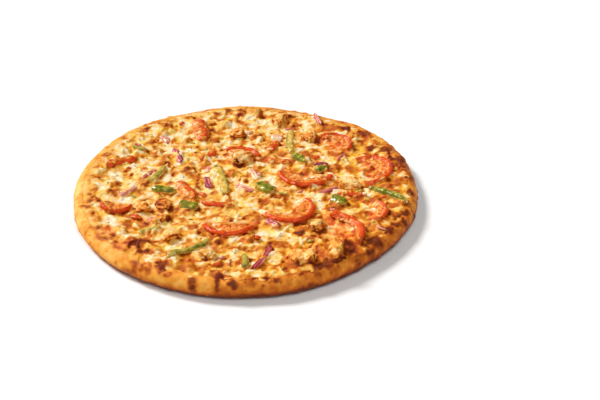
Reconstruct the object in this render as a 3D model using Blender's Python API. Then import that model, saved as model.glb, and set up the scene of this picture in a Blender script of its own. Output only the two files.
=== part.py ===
"""A chicken pizza, 300 mm across: a risen crust, melted cheese, and its toppings as separate pieces.

The origin is under the middle of the pizza, on the surface that it rests on. +Z is up, and +Y points
away from the side that is nearest in the usual view. Sizes are in metres unless a name says MM.
"""

import math

import bmesh
import bpy
from mathutils import Matrix, Vector, noise
from mathutils.bvhtree import BVHTree

MM = 0.001

# Driving sizes of the pizza
PIZZA_RADIUS = 150 * MM
CREST_HEIGHT = 15.6 * MM
BASE_THICKNESS = 8.0 * MM
CHEESE_LEVEL = 12.8 * MM
CHEESE_EDGE_THICKNESS = 0.9 * MM
TOUCHING_GAP = 0.4 * MM

# The outline isn't quite round: angle in degrees, bulge as a share of the radius, spread in degrees
OUTLINE_BULGES = (
    (28, 0.019, 17),
    (66, -0.012, 18),
    (135, 0.016, 19),
    (188, -0.008, 9),
    (268, 0.008, 22),
    (310, -0.014, 15),
)

# The crust's section from its foot, up its outer side and over the crest to the seat under the cheese:
# share of the radius, share of the crest height, and how far the ring wanders in and out
CRUST_SECTION = (
    (0.45, 0.00, 0.000),
    (0.80, 0.00, 0.000),
    (0.950, 0.00, 0.000),
    (0.984, 0.13, 0.000),
    (1.000, 0.42, 0.000),
    (0.990, 0.73, 0.002),
    (0.966, 0.94, 0.006),
    (0.940, 1.00, 0.012),
    (0.912, 0.93, 0.018),
)
SEAT_SECTION = (
    (0.880, 0.72, 0.016),
    (0.845, 0.54, 0.010),
    (0.780, BASE_THICKNESS / CREST_HEIGHT, 0.000),
    (0.450, BASE_THICKNESS / CREST_HEIGHT, 0.000),
)
CHEESE_RING_SHARES = (0.87, 0.82, 0.76, 0.69, 0.62, 0.55, 0.48, 0.41, 0.34, 0.27, 0.20, 0.13, 0.06)
SECTORS = 64

CHEESE_SWELL = 0.7 * MM
CHEESE_SWELL_LENGTH = 38 * MM
LUMP_FOOT_MM = 0.5

# Tomato slices, each an arc of a ring, in millimetres and degrees:
# x, y, radius, first angle, last angle, and the share of the radius where its flesh ends
TOMATO_SLICES_MM = (
    (53, 14, 25, 172, 348, 0.42),
    (107, 16, 24, -82, 98, 0.50),
    (35, -44, 23, 198, 402, 0.38),
    (-14, -58, 25, 196, 330, 0.20),
    (66, -84, 29, -38, 86, 0.72),
    (100, -52, 18, -58, 54, 0.45),
    (-109, -31, 14, 172, 350, 0.20),
    (-8, 37, 25, 24, 118, 0.70),
    (79, 62, 20, -32, 122, 0.52),
)
TOMATO_THICKNESS = 4.2 * MM
TOMATO_FLESH_DROP = 1.7 * MM

# Pieces cut from tomatoes, as strips: x and y of each end, width, height, and sideways bow
TOMATO_WEDGES_MM = (
    (-60, 2, -45, -25, 10, 4.0, 1.0),
    (-38, -31, -12, -36, 5, 3.6, -1.5),
    (20, 36, 40, 34, 7, 3.6, -1.0),
    (-40, 41, -27, 53, 8, 4.0, 1.0),
    (-46, 116, -40, 76, 13, 5.0, 1.5),
    (-124, 31, -98, 45, 9, 4.2, 2.0),
    (22, 53, 31, 71, 8, 3.8, 1.0),
    (78, -21, 103, -26, 5, 3.8, -1.0),
)

# Strips of green pepper: x and y of each end, width, height, and sideways bow
PEPPER_STRIPS_MM = (
    (-102, 66, -91, 61, 5, 4.0, -3.0),
    (-72, 30, -86, 3, 6, 3.8, 2.0),
    (-27, 29, -18, -18, 8, 3.6, 2.0),
    (44, 92, 42, 50, 7, 3.4, -1.5),
    (106, -17, 134, -43, 7, 4.6, 3.0),
    (-31, -88, -63, -107, 6, 3.6, 3.5),
    (-88, -75, -70, -67, 6, 3.2, 1.0),
    (-3, -110, -3, -129, 6, 3.6, 1.0),
)

# Short pieces of green pepper, skin side up: x, y, length, width, height, and heading in degrees
PEPPER_PIECES_MM = (
    (-71, -11, 21, 9, 5.0, -10),
    (-49, -37, 17, 11, 4.6, -24),
    (16, -12, 19, 12, 5.6, -42),
    (50, 37, 20, 10, 5.2, -36),
    (67, 18, 13, 8, 5.0, 25),
    (77, -34, 15, 12, 5.0, -52),
)

# Slivers of red onion: x and y of each end, width, height, and sideways bow
ONION_SLIVERS_MM = (
    (-66, 63, -59, 37, 7, 2.8, 1.5),
    (-36, 10, -32, -8, 7, 2.8, 1.0),
    (-91, 10, -79, 25, 4.5, 2.6, 1.0),
    (-9, -3, 7, -14, 6, 2.6, -1.0),
    (3, 24, 9, 5, 7, 2.4, 1.0),
    (61, 27, 74, 27, 6, 3.0, 1.5),
    (83, 34, 92, 45, 4.5, 2.6, 1.0),
    (61, -21, 79, -11, 5, 2.6, -1.5),
    (15, -61, 25, -72, 8, 3.2, 1.0),
    (18, -97, 2, -131, 5.5, 3.0, 2.0),
    (24, 80, 36, 79, 9, 3.4, 0.5),
    (68, 123, 73, 102, 5, 2.6, -1.0),
    (-95, -1, -109, -16, 7, 2.4, 1.0),
)

# Lumps fused to the cheese: chicken and vegetables that it has run over, and its own blisters.
# x, y, length, width, height, and heading in degrees
LUMPS_MM = (
    (-86, -88, 24, 20, 3.4, -30),
    (-106, -66, 20, 14, 2.8, -50),
    (-77, 97, 23, 17, 2.8, 40),
    (-118, -12, 18, 15, 2.6, 20),
    (101, 73, 14, 13, 3.2, 40),
    (103, -71, 14, 11, 2.8, -30),
    (11, 62, 16, 11, 2.8, 15),
    (-28, 69, 13, 11, 2.6, 60),
    (-51, 28, 14, 11, 3.2, 20),
    (-19, 111, 13, 18, 2.8, 10),
    (-73, -97, 13, 10, 2.8, 30),
    (7, -86, 10, 8, 2.6, 0),
    (72, -55, 14, 12, 3.0, 30),
    (78, -96, 13, 10, 3.4, -50),
    (55, -99, 13, 10, 3.4, -30),
    (86, 93, 12, 9, 2.8, -40),
    (-111, 60, 14, 11, 2.6, 70),
)

# Pieces of chicken: x, y, length, width, height, and heading in degrees
CHICKEN_PIECES_MM = (
    (-4, 40, 22, 16, 7.0, 32),
    (-7, 87, 16, 13, 6.5, 10),
    (90, -10, 20, 12, 6.0, -4),
    (-62, -80, 17, 14, 5.5, 40),
    (-32, -109, 14, 10, 6.0, -20),
    (56, -72, 16, 13, 6.5, 30),
    (68, -113, 24, 12, 8.0, 74),
    (42, -117, 24, 20, 6.5, 15),
    (34, 112, 23, 11, 6.0, 66),
    (60, 80, 18, 13, 5.5, 80),
    (-86, -39, 13, 11, 5.5, 0),
    (-70, -34, 15, 13, 6.0, -50),
    (-71, -56, 14, 9, 5.5, 30),
)


def material(name, colour, roughness):
    """A plain finish of one colour."""
    made = bpy.data.materials.new(name)
    made.use_nodes = True
    shader = made.node_tree.nodes["Principled BSDF"]
    shader.inputs["Base Color"].default_value = (*colour, 1.0)
    shader.inputs["Roughness"].default_value = roughness
    shader.inputs["Metallic"].default_value = 0.0
    return made


def loft(rings):
    """A closed mesh through rings of points that run anticlockwise seen from the last ring."""
    mesh = bmesh.new()
    loops = [[mesh.verts.new(point) for point in ring] for ring in rings]
    count = len(rings[0])
    for low, high in zip(loops, loops[1:]):
        for i in range(count):
            j = (i + 1) % count
            mesh.faces.new((low[i], low[j], high[j], high[i]))
    for loop, turn in ((loops[0], -1), (loops[-1], 1)):
        middle = mesh.verts.new(sum((v.co for v in loop), Vector()) / count)
        for i in range(count):
            pair = (loop[i], loop[(i + 1) % count])[::turn]
            mesh.faces.new((*pair, middle))
    bmesh.ops.triangulate(mesh, faces=mesh.faces[:])
    if mesh.calc_volume(signed=True) < 0:
        bmesh.ops.reverse_faces(mesh, faces=mesh.faces[:])
    return mesh


def add_object(name, mesh, finish):
    """Turns a bmesh into a smooth-shaded object of that finish."""
    data = bpy.data.meshes.new(name)
    mesh.to_mesh(data)
    mesh.free()
    if finish:
        data.materials.append(finish)
    data.shade_smooth()
    data.set_sharp_from_angle(angle=math.radians(50))
    made = bpy.data.objects.new(name, data)
    bpy.context.scene.collection.objects.link(made)
    return made


def wave(x, y, length, seed):
    """Smooth unevenness from -1 to 1, with bumps about that length apart."""
    return noise.noise(Vector((x / length, y / length, 7.3 * seed)))


def outline_radius(angle):
    """The crust's widest radius in that direction, in radians."""
    share = 1.0
    for centre, bulge, spread in OUTLINE_BULGES:
        off = (math.degrees(angle) - centre + 180) % 360 - 180
        share += bulge * math.exp(-((off / spread) ** 2))
    ripple = wave(math.cos(angle), math.sin(angle), 0.30, 1)
    return PIZZA_RADIUS * (share + 0.004 * ripple)


def section_point(angle, share, height, wander):
    """A point of the crust's skin in one direction, from its section."""
    drift = wander * wave(math.cos(angle), math.sin(angle), 0.42, 2)
    radius = outline_radius(angle) * (share + drift)
    swell = 1 + 0.10 * wave(math.cos(angle), math.sin(angle), 0.35, 3) if share > 0.88 else 1.0
    return Vector((radius * math.cos(angle), radius * math.sin(angle), height * CREST_HEIGHT * swell))


def section_ring(share, height, wander, lift=0.0):
    """One ring of the crust's skin, raised by lift."""
    angles = [2 * math.pi * i / SECTORS for i in range(SECTORS)]
    return [section_point(angle, share, height, wander) + Vector((0, 0, lift)) for angle in angles]


def make_crust(finish):
    """The risen dough: a rim that stands up round a flat seat for the cheese."""
    return add_object("crust", loft([section_ring(*row) for row in CRUST_SECTION + SEAT_SECTION]), finish)


def cheese_ring(share, edge):
    """One ring of the cheese's top, whose level swells gently and climbs to the edge at the rim."""
    ring = []
    for i, rim in enumerate(edge):
        angle = 2 * math.pi * i / SECTORS
        radius = outline_radius(angle) * share
        x, y = radius * math.cos(angle), radius * math.sin(angle)
        level = CHEESE_LEVEL + CHEESE_SWELL * wave(x, y, CHEESE_SWELL_LENGTH, 4)
        climb = max(0.0, (share - 0.72) / (0.90 - 0.72)) ** 2
        ring.append(Vector((x, y, level + (rim.z - level) * climb)))
    return ring


def make_cheese(finish):
    """The melted cheese: it fills the seat, ends on the inner side of the rim and runs over the lumps."""
    edge_row = CRUST_SECTION[-1]
    under = [section_ring(*row, lift=TOUCHING_GAP) for row in reversed((edge_row, *SEAT_SECTION))]
    edge = section_ring(*edge_row, lift=TOUCHING_GAP + CHEESE_EDGE_THICKNESS)
    over = [cheese_ring(share, edge) for share in CHEESE_RING_SHARES]
    cheese = add_object("cheese", loft(under + [edge] + over), finish)
    bare = Ground([cheese])
    fuse(cheese, [make_lump(number, bare, *row) for number, row in enumerate(LUMPS_MM)])
    return cheese


def make_lump(number, ground, x, y, length, width, height, heading):
    """A low mound that stands out of the cheese, with a thin foot just under its top."""
    mesh = bmesh.new()
    bmesh.ops.create_uvsphere(mesh, u_segments=9, v_segments=6, radius=1.0)
    turn = math.radians(heading)
    for vert in mesh.verts:
        crag = 1 + 0.30 * noise.noise(vert.co * 1.4 + Vector((x, y, 0.0)))
        across, along = vert.co.x * length / 2 * crag, vert.co.y * width / 2 * crag
        px = MM * (x + across * math.cos(turn) - along * math.sin(turn))
        py = MM * (y + across * math.sin(turn) + along * math.cos(turn))
        rise = height if vert.co.z > 0.01 else LUMP_FOOT_MM
        vert.co = Vector((px, py, ground.height(px, py) + MM * (vert.co.z * rise - LUMP_FOOT_MM / 4)))
    return add_object(f"lump_{number:02d}", mesh, None)


def fuse(base, pieces):
    """Joins the pieces to the base by one union, and removes them."""
    group = bpy.data.collections.new("fused")
    for piece in pieces:
        group.objects.link(piece)
    union = base.modifiers.new("fused", "BOOLEAN")
    union.operation = "UNION"
    union.operand_type = "COLLECTION"
    union.solver = "EXACT"
    union.collection = group
    graph = bpy.context.evaluated_depsgraph_get()
    joined = bpy.data.meshes.new_from_object(base.evaluated_get(graph))
    base.modifiers.remove(union)
    base.data = joined
    base.data.set_sharp_from_angle(angle=math.radians(50))
    for piece in pieces:
        bpy.data.objects.remove(piece, do_unlink=True)
    bpy.data.collections.remove(group)


class Ground:
    """The top of the cheese and of the crust round it, for what lies on them."""

    def __init__(self, layers):
        graph = bpy.context.evaluated_depsgraph_get()
        self.trees = [BVHTree.FromObject(layer, graph) for layer in layers]

    def height(self, x, y):
        hits = [tree.ray_cast(Vector((x, y, 1.0)), Vector((0, 0, -1)))[0] for tree in self.trees]
        return max(hit.z for hit in hits if hit)

    def settle(self, mesh):
        """Lifts a mesh until every corner, edge and face of it is clear of what it lies on."""
        probes = [vert.co for vert in mesh.verts]
        probes += [(edge.verts[0].co + edge.verts[1].co) / 2 for edge in mesh.edges]
        probes += [face.calc_center_median() for face in mesh.faces]
        least = min(point.z - self.height(point.x, point.y) for point in probes)
        lift = max(0.0, TOUCHING_GAP - least)
        bmesh.ops.translate(mesh, verts=mesh.verts[:], vec=Vector((0, 0, lift)))


def swept_piece(ground, stations, section):
    """A mesh with the same section at each station: (point on the cheese, sideways direction, width, height).

    section lists (side, up) as shares of half the width and of the height.
    """
    rings = []
    for point, side, width, height in stations:
        ring = []
        for across, up in section:
            x = point.x + side.x * across * width / 2
            y = point.y + side.y * across * width / 2
            ring.append(Vector((x, y, ground.height(x, y) + TOUCHING_GAP + up * height)))
        rings.append(ring)
    mesh = loft(rings)
    ground.settle(mesh)
    return mesh


def tomato_slice(ground, x, y, radius, first, last, flesh_end):
    """An arc of a tomato slice: a thick skin wall outside and lower, softer flesh inside."""
    turns = max(7, round((last - first) / 17))
    wall = (0.80, 0.97, 1.00, 0.93, 0.84)
    stations = []
    for i in range(turns + 1):
        share = i / turns
        angle = math.radians(first + (last - first) * share)
        taper = min(1.0, 0.55 + 3.0 * min(share, 1 - share))
        wobble = 1 + 0.04 * wave(math.cos(angle), math.sin(angle), 0.5, x + y)
        stations.append((angle, radius * MM * wobble, taper))
    rings = []
    for angle, reach, taper in stations:
        inner = reach * (1 - (1 - flesh_end) * taper)
        flesh = TOMATO_THICKNESS - TOMATO_FLESH_DROP
        rows = (
            (inner, 0.0),
            (reach * wall[1], 0.0),
            (reach * wall[2], TOMATO_THICKNESS * 0.55),
            (reach * wall[3], TOMATO_THICKNESS),
            (max(inner * 1.02, reach * wall[4]), TOMATO_THICKNESS * 0.92),
            (max(inner * 1.01, reach * wall[0]), flesh),
            (inner, flesh * 0.55),
        )
        ring = []
        for distance, up in rows:
            px = x * MM + distance * math.cos(angle)
            py = y * MM + distance * math.sin(angle)
            ring.append(Vector((px, py, ground.height(px, py) + TOUCHING_GAP + up * taper)))
        rings.append(ring)
    mesh = loft(rings)
    ground.settle(mesh)
    return mesh


def strip_stations(x0, y0, x1, y1, width, height, bow, count, blunt):
    """Stations along a bowed strip whose ends narrow; blunt is the share of the width left at the tips."""
    start, end = Vector((x0, y0, 0)) * MM, Vector((x1, y1, 0)) * MM
    along = (end - start).normalized()
    side = Vector((-along.y, along.x, 0))
    stations = []
    for i in range(count + 1):
        share = i / count
        arch = 4 * share * (1 - share)
        turn = 4 * bow * MM * (1 - 2 * share) / (end - start).length
        point = start.lerp(end, share) + side * bow * MM * arch
        lean = (side - along * turn).normalized()
        full = blunt + (1 - blunt) * min(1.0, 2.2 * arch) ** 0.5
        ripple = 1 + 0.12 * wave(point.x, point.y, 9 * MM, width)
        stations.append((point, lean, width * MM * full * ripple, height * MM * (0.6 + 0.4 * full)))
    return stations


WEDGE_SECTION = ((-1.0, 0.0), (1.0, 0.0), (1.0, 0.55), (0.55, 1.0), (-0.35, 0.85), (-1.0, 0.45))
PEPPER_SECTION = ((-1.0, 0.0), (1.0, 0.0), (1.0, 0.45), (0.6, 0.9), (0.0, 1.0), (-0.6, 0.9), (-1.0, 0.45))
ONION_SECTION = ((-1.0, 0.0), (1.0, 0.0), (0.85, 0.75), (0.2, 1.0), (-0.75, 0.55))


def tomato_wedge(ground, *row):
    """A strip cut from a tomato, skin to one side."""
    return swept_piece(ground, strip_stations(*row, count=7, blunt=0.45), WEDGE_SECTION)


def pepper_strip(ground, *row):
    """A strip of pepper, arched like the wall that it was cut from."""
    return swept_piece(ground, strip_stations(*row, count=8, blunt=0.6), PEPPER_SECTION)


def onion_sliver(ground, *row):
    """A sliver of onion that runs to a point at both ends."""
    return swept_piece(ground, strip_stations(*row, count=7, blunt=0.25), ONION_SECTION)


def pepper_piece(ground, x, y, length, width, height, heading):
    """A short oval piece of pepper, domed skin side up."""
    half = Vector((math.cos(math.radians(heading)), math.sin(math.radians(heading)), 0)) * length / 2
    ends = (x - half.x, y - half.y, x + half.x, y + half.y)
    return swept_piece(ground, strip_stations(*ends, width, height, 0.8, count=7, blunt=0.3), PEPPER_SECTION)


def chicken_piece(ground, x, y, length, width, height, heading):
    """A torn chunk of chicken: blocky, uneven, and flat where it lies on the cheese."""
    mesh = bmesh.new()
    bmesh.ops.create_uvsphere(mesh, u_segments=14, v_segments=9, radius=1.0)
    turn = math.radians(heading)
    for vert in mesh.verts:
        unit = vert.co.copy()
        boxy = Vector([math.copysign(abs(c) ** 0.82, c) for c in unit])
        crag = 1 + 0.34 * noise.noise(unit * 1.6 + Vector((x, y, 3.1)))
        local = Vector((boxy.x * length / 2, boxy.y * width / 2, 0)) * crag * MM
        px = x * MM + local.x * math.cos(turn) - local.y * math.sin(turn)
        py = y * MM + local.x * math.sin(turn) + local.y * math.cos(turn)
        up = max(0.0, boxy.z * crag) * height * MM
        foot = 0.25 * MM * min(0.0, unit.z)
        vert.co = Vector((px, py, ground.height(px, py) + TOUCHING_GAP + up + foot))
    ground.settle(mesh)
    return mesh


def make_toppings(ground, finishes):
    """Every topping as its own numbered object."""
    kinds = (
        ("tomato_slice", TOMATO_SLICES_MM, tomato_slice, finishes["tomato"]),
        ("tomato_wedge", TOMATO_WEDGES_MM, tomato_wedge, finishes["tomato"]),
        ("pepper_strip", PEPPER_STRIPS_MM, pepper_strip, finishes["pepper"]),
        ("pepper_piece", PEPPER_PIECES_MM, pepper_piece, finishes["pepper"]),
        ("onion_sliver", ONION_SLIVERS_MM, onion_sliver, finishes["onion"]),
        ("chicken_piece", CHICKEN_PIECES_MM, chicken_piece, finishes["chicken"]),
    )
    for kind, rows, make, finish in kinds:
        for number, row in enumerate(rows, start=1):
            piece = add_object(f"{kind}_{number:02d}", make(ground, *row), finish)
            middle = sum((Vector(corner) for corner in piece.bound_box), Vector()) / 8
            piece.data.transform(Matrix.Translation(-middle))
            piece.location = middle


def centre_over_origin(reference):
    """The bulges move the middle of the outline a little, so every piece is moved back over the origin."""
    xs, ys, _ = zip(*(vert.co for vert in reference.data.vertices))
    for piece in bpy.data.objects:
        piece.location.x -= (min(xs) + max(xs)) / 2
        piece.location.y -= (min(ys) + max(ys)) / 2


def main():
    for leftover in list(bpy.data.objects):
        bpy.data.objects.remove(leftover, do_unlink=True)
    finishes = {
        "crust": material("baked_crust", (0.80, 0.44, 0.13), 0.65),
        "cheese": material("melted_cheese", (0.93, 0.66, 0.27), 0.42),
        "tomato": material("tomato", (0.76, 0.10, 0.02), 0.30),
        "pepper": material("green_pepper", (0.17, 0.27, 0.03), 0.28),
        "onion": material("red_onion", (0.55, 0.20, 0.30), 0.35),
        "chicken": material("chicken", (0.78, 0.46, 0.20), 0.55),
    }
    crust = make_crust(finishes["crust"])
    ground = Ground([crust, make_cheese(finishes["cheese"])])
    make_toppings(ground, finishes)
    centre_over_origin(crust)


main()
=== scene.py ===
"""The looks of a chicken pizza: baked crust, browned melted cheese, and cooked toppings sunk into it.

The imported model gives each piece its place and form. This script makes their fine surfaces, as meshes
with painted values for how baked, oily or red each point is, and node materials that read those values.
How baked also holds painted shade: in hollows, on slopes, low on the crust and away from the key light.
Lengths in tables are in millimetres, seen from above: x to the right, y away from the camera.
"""

import itertools
import math

import bpy
import numpy as np
from mathutils import Matrix, Vector, noise
from mathutils.bvhtree import BVHTree


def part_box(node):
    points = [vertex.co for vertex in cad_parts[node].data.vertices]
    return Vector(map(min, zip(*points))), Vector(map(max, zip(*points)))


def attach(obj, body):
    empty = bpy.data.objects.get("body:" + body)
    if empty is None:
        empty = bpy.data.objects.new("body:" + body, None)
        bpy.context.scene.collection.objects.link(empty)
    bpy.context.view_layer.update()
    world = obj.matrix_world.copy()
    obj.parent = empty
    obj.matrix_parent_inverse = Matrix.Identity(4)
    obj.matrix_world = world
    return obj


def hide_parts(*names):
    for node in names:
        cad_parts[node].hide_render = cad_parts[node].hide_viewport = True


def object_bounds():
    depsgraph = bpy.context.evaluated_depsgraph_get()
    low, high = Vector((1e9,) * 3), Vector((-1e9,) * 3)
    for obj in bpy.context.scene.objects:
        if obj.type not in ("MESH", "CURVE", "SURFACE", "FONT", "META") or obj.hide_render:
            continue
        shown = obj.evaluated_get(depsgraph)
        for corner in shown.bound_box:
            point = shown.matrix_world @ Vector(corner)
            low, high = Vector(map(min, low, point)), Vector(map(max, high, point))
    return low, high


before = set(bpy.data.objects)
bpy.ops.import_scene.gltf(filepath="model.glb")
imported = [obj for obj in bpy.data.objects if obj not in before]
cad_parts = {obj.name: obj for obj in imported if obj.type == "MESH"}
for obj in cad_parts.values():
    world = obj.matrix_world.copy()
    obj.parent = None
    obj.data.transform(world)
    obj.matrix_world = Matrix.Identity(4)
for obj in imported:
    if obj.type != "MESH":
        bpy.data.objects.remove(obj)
CAD_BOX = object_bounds()

MM = 0.001
ROOT = "root"

# The crust's outline and section, as in the imported model
PIZZA_RADIUS = 150 * MM
CREST_HEIGHT = 15.6 * MM
OUTLINE_BULGES = (
    (28, 0.019, 17), (66, -0.012, 18), (135, 0.016, 19), (188, -0.008, 9), (268, 0.008, 22),
    (310, -0.014, 15),
)
CRUST_SECTION = (
    (0.02, 0.0, 0.0), (0.3, 0.0, 0.0), (0.6, 0.0, 0.0), (0.88, 0.0, 0.0),
    (0.95, 0.0, 0.0), (0.984, 0.13, 0.0), (1.0, 0.42, 0.0), (0.99, 0.73, 0.002),
    (0.966, 0.94, 0.006), (0.94, 1.0, 0.012), (0.912, 0.93, 0.018), (0.88, 0.72, 0.016),
    (0.845, 0.54, 0.01),
)
CRUST_SECTORS = 840
CRUST_ROWS_PER_SPAN = 6
RIM_START = 0.88

# The crust's fine relief in millimetres: its blisters, and how far in it is moved
CRUST_BLISTER = 0.7
CRUST_INSET = 0.65

# The grid that the cheese's surface is worked out on
GRID_STEP = 0.85 * MM
GRID_HALF = 156 * MM

# Where the sheet of cheese ends in the dough, and how it banks up inside the rim
CHEESE_LEVEL = 12.8 * MM
CHEESE_BANK = 2.3 * MM
CREST_SHARE = 0.94
CHEESE_CLIMB = 2.5 * MM

# Layers of noise: rows of length in millimetres, weight and seed
CRUST_RELIEF = ((16, 0.55, 11), (6, 0.34, 12), (2.2, 0.16, 13))
REACH_NOISE = ((17, 0.016, 21), (7, 0.014, 22))
LUMPY_NOISE = ((7, 0.45, 34), (3, 0.46, 35), (1.9, 0.28, 36))
SMOOTH_NOISE = ((9, 0.9, 38), (3.6, 0.35, 39))
BAKE_NOISE = ((17, 0.34, 50), (9, 0.46, 51), (5, 0.34, 52), (2.6, 0.1, 59))
CREAM_NOISE = ((13, 1, 53), (6, 0.5, 54))
RIM_BROWNING_NOISE = ((9, 1, 64), (3, 0.3, 65))

# Mounds: how many, seed, range of radii in millimetres, range of heights
CHEESE_MOUNDS = ((340, 31, (3.2, 8.0), (0.9, 2.4)), (700, 32, (1.3, 2.8), (0.4, 1.4)))
BROWN_BLISTERS = (230, 55, (1.2, 3.6), (0.15, 0.55))
STRANDS = 1500

# How far out random things lie
MOUNDS_REACH = 135 * MM
STRANDS_REACH = 136 * MM
HERBS_REACH = 130 * MM

# How far out the cheese shows as cheese, as a share of the outline's radius:
# base, then direction in degrees, change, spread in degrees
CHEESE_REACH = 0.955
CHEESE_REACH_CHANGES = (
    (270, 0.052, 58), (350, 0.024, 50), (175, -0.036, 32), (215, -0.014, 20), (50, -0.022, 30),
)
SEAM_LIMITS = (0.948, 0.968)

# How brown the bare dough is on its crest, by direction in degrees; it is browner away from the key light,
# partly the dough's own browning and partly painted shade
DOUGH_BAKE_AND_SHADE = (
    (0, 0.54), (45, 0.48), (90, 0.47), (135, 0.31), (180, 0.23), (225, 0.29), (270, 0.5), (315, 0.58),
    (360, 0.54),
)

# Patches placed one by one: x, y, radius across and along, heading in degrees, strength
BROWNED_AND_SHADOW_PATCHES_MM = (
    (-24, -143, 3, 6, 0, 0.85), (-12, -145, 4, 5, -20, 0.8), (-18, -138, 9, 3, 0, 0.6),
    (2, -141, 4, 3, 0, 0.55), (12, -141, 9, 2, 0, 0.55), (21, -143, 3, 2, 0, 0.55),
    (48, -132, 14, 5, 20, 0.42), (61, -125, 9, 6, 35, 0.46), (52, -102, 5, 6, 0, 0.42),
    (80, -106, 6, 9, 0, 0.56), (102, -96, 8, 7, -45, 0.46), (96, -107, 8, 4, 45, 0.34),
    (112, -79, 8, 7, 0, 0.54), (121, -72, 6, 5, 0, 0.44), (128, -66, 3, 4, 0, 0.5),
    (131, -54, 5, 6, 0, 0.54), (141, -22, 5, 6, 20, 0.4), (143, 4, 5, 14, 0, 0.26),
    (128, 22, 11, 24, 5, 0.24), (140, 30, 6, 14, 12, 0.24), (128, 50, 9, 10, 20, 0.32),
    (116, 55, 7, 7, 0, 0.24), (114, 79, 9, 9, 0, 0.4), (82, 81, 4, 7, 0, 0.7), (98, 92, 5, 4, 0, 0.28),
    (-5, 85, 8, 5, 0, 0.48), (-32, 100, 5, 5, 0, 0.4), (-20, 113, 5, 10, 0, 0.26),
    (38, 112, 4, 6, 0, 0.26), (24, 97, 4, 3, 0, 0.4), (-80, 110, 8, 10, 30, 0.38),
    (-83, 85, 4, 5, 0, 0.45), (-112, 85, 8, 6, 0, 0.3), (-126, 52, 5, 5, 0, 0.4),
    (-51, 122, 12, 7, 10, 0.32), (-18, 136, 5, 5, 0, 0.4), (-7, 135, 5, 4, 0, 0.4),
    (12, 133, 10, 4, 0, 0.36), (-130, 12, 5, 6, 0, 0.28), (-129, -25, 10, 6, 0, 0.28),
    (-134, -34, 9, 3, -15, 0.42), (-128, -44, 8, 5, 0, 0.32), (-123, -53, 6, 6, 0, 0.26),
    (-116, -66, 12, 6, -20, 0.36), (-119, -77, 5, 9, 30, 0.38), (-110, -78, 6, 7, 0, 0.36),
    (-96, -92, 14, 10, -15, 0.44), (-84, -98, 6, 13, 5, 0.66), (-85, -89, 8, 6, 0, 0.5),
    (-86, -118, 9, 5, -35, 0.44), (-77, -123, 3, 5, 0, 0.46), (-67, -123, 6, 8, 30, 0.5),
    (-62, -132, 3, 3, 0, 0.55), (-43, -141, 5, 5, 0, 0.5), (-31, -115, 5, 6, 0, 0.56),
    (-70, -33, 6, 7, 0, 0.5), (-90, -38, 6, 6, 0, 0.3), (-67, -55, 5, 4, 0, 0.55),
    (-56, -77, 3, 3, 0, 0.45), (-50, 26, 6, 4, 0, 0.4), (-64, 18, 4, 6, 0, 0.3),
    (-42, 5, 3, 7, 0, 0.4), (-106, 26, 4, 8, 0, 0.3), (-93, 15, 4, 5, 0, 0.3),
    # On this row, the patch at (-5, 31) is a painted shadow in front of a piece of chicken.
    (-108, -18, 3, 3, 0, 0.45), (-5, 31, 6, 3, 0, 0.65), (7, 68, 3, 4, 0, 0.4), (35, 73, 4, 5, 0, 0.45),
    (32, 35, 9, 5, 0, 0.3), (99, -16, 3, 4, 0, 0.55), (73, -45, 3, 4, 0, 0.5), (60, -67, 3, 4, 0, 0.5),
    (40, -80, 5, 5, 0, 0.36), (-3, -49, 4, 8, 0, 0.36), (-36, -48, 3, 7, 0, 0.3),
    (-14, 5, 4, 6, 0, 0.3),
)
GOLDEN_PATCHES_MM = (
    (-130, -18, 12, 18, 0, 0.8), (-20, 112, 6, 12, 0, 0.7), (60, 82, 9, 14, 0, 0.9),
    (97, 28, 4, 26, 0, 0.9), (-75, 0, 7, 9, 0, 0.9), (-52, 46, 6, 13, 0, 0.7), (-47, 6, 7, 10, 0, 0.6),
    (-72, 100, 8, 8, 0, 0.7), (-103, 80, 10, 12, 0, 0.6), (107, 58, 8, 8, 0, 0.8),
    (60, -100, 8, 11, 0, 0.7), (80, -92, 8, 8, 0, 0.6), (-5, 12, 6, 8, 0, 0.5), (15, -128, 9, 8, 0, 0.6),
    (-52, -122, 9, 8, 0, 0.6), (-98, -66, 6, 5, 0, 0.5), (28, -52, 8, 6, 0, 0.6), (-22, 84, 6, 8, 0, 0.5),
)
PALE_PATCHES_MM = (
    (-118, 18, 13, 14, 0, 0.35), (-113, -58, 8, 15, 25, 0.9), (-97, -76, 9, 6, 0, 0.8),
    (-60, 9, 7, 6, 0, 0.8), (-11, -108, 7, 10, 0, 0.9), (35, -92, 4, 6, 0, 1.0),
    (18, -80, 16, 12, 0, 0.6), (-20, -78, 10, 5, 0, 0.5), (108, -14, 8, 5, 0, 0.6),
    (87, 14, 7, 14, 0, 0.5), (-10, 99, 11, 8, 0, 0.7), (20, 106, 12, 16, 0, 0.5),
    (-75, 84, 8, 11, 0, 0.8), (-56, 84, 8, 9, 0, 0.5), (-8, 42, 12, 8, 0, 0.4), (12, 32, 9, 7, 0, 0.7),
    (5, -4, 16, 6, 0, 0.5), (-30, 12, 6, 16, 0, 0.4), (40, 28, 14, 6, 0, 0.3), (-5, -30, 14, 8, 0, 0.4),
    (64, -32, 8, 10, 0, 0.4), (-110, 4, 8, 8, 0, 0.25), (-84, 42, 9, 5, 0, 0.6), (82, -72, 8, 6, 0, 0.5),
)
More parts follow.
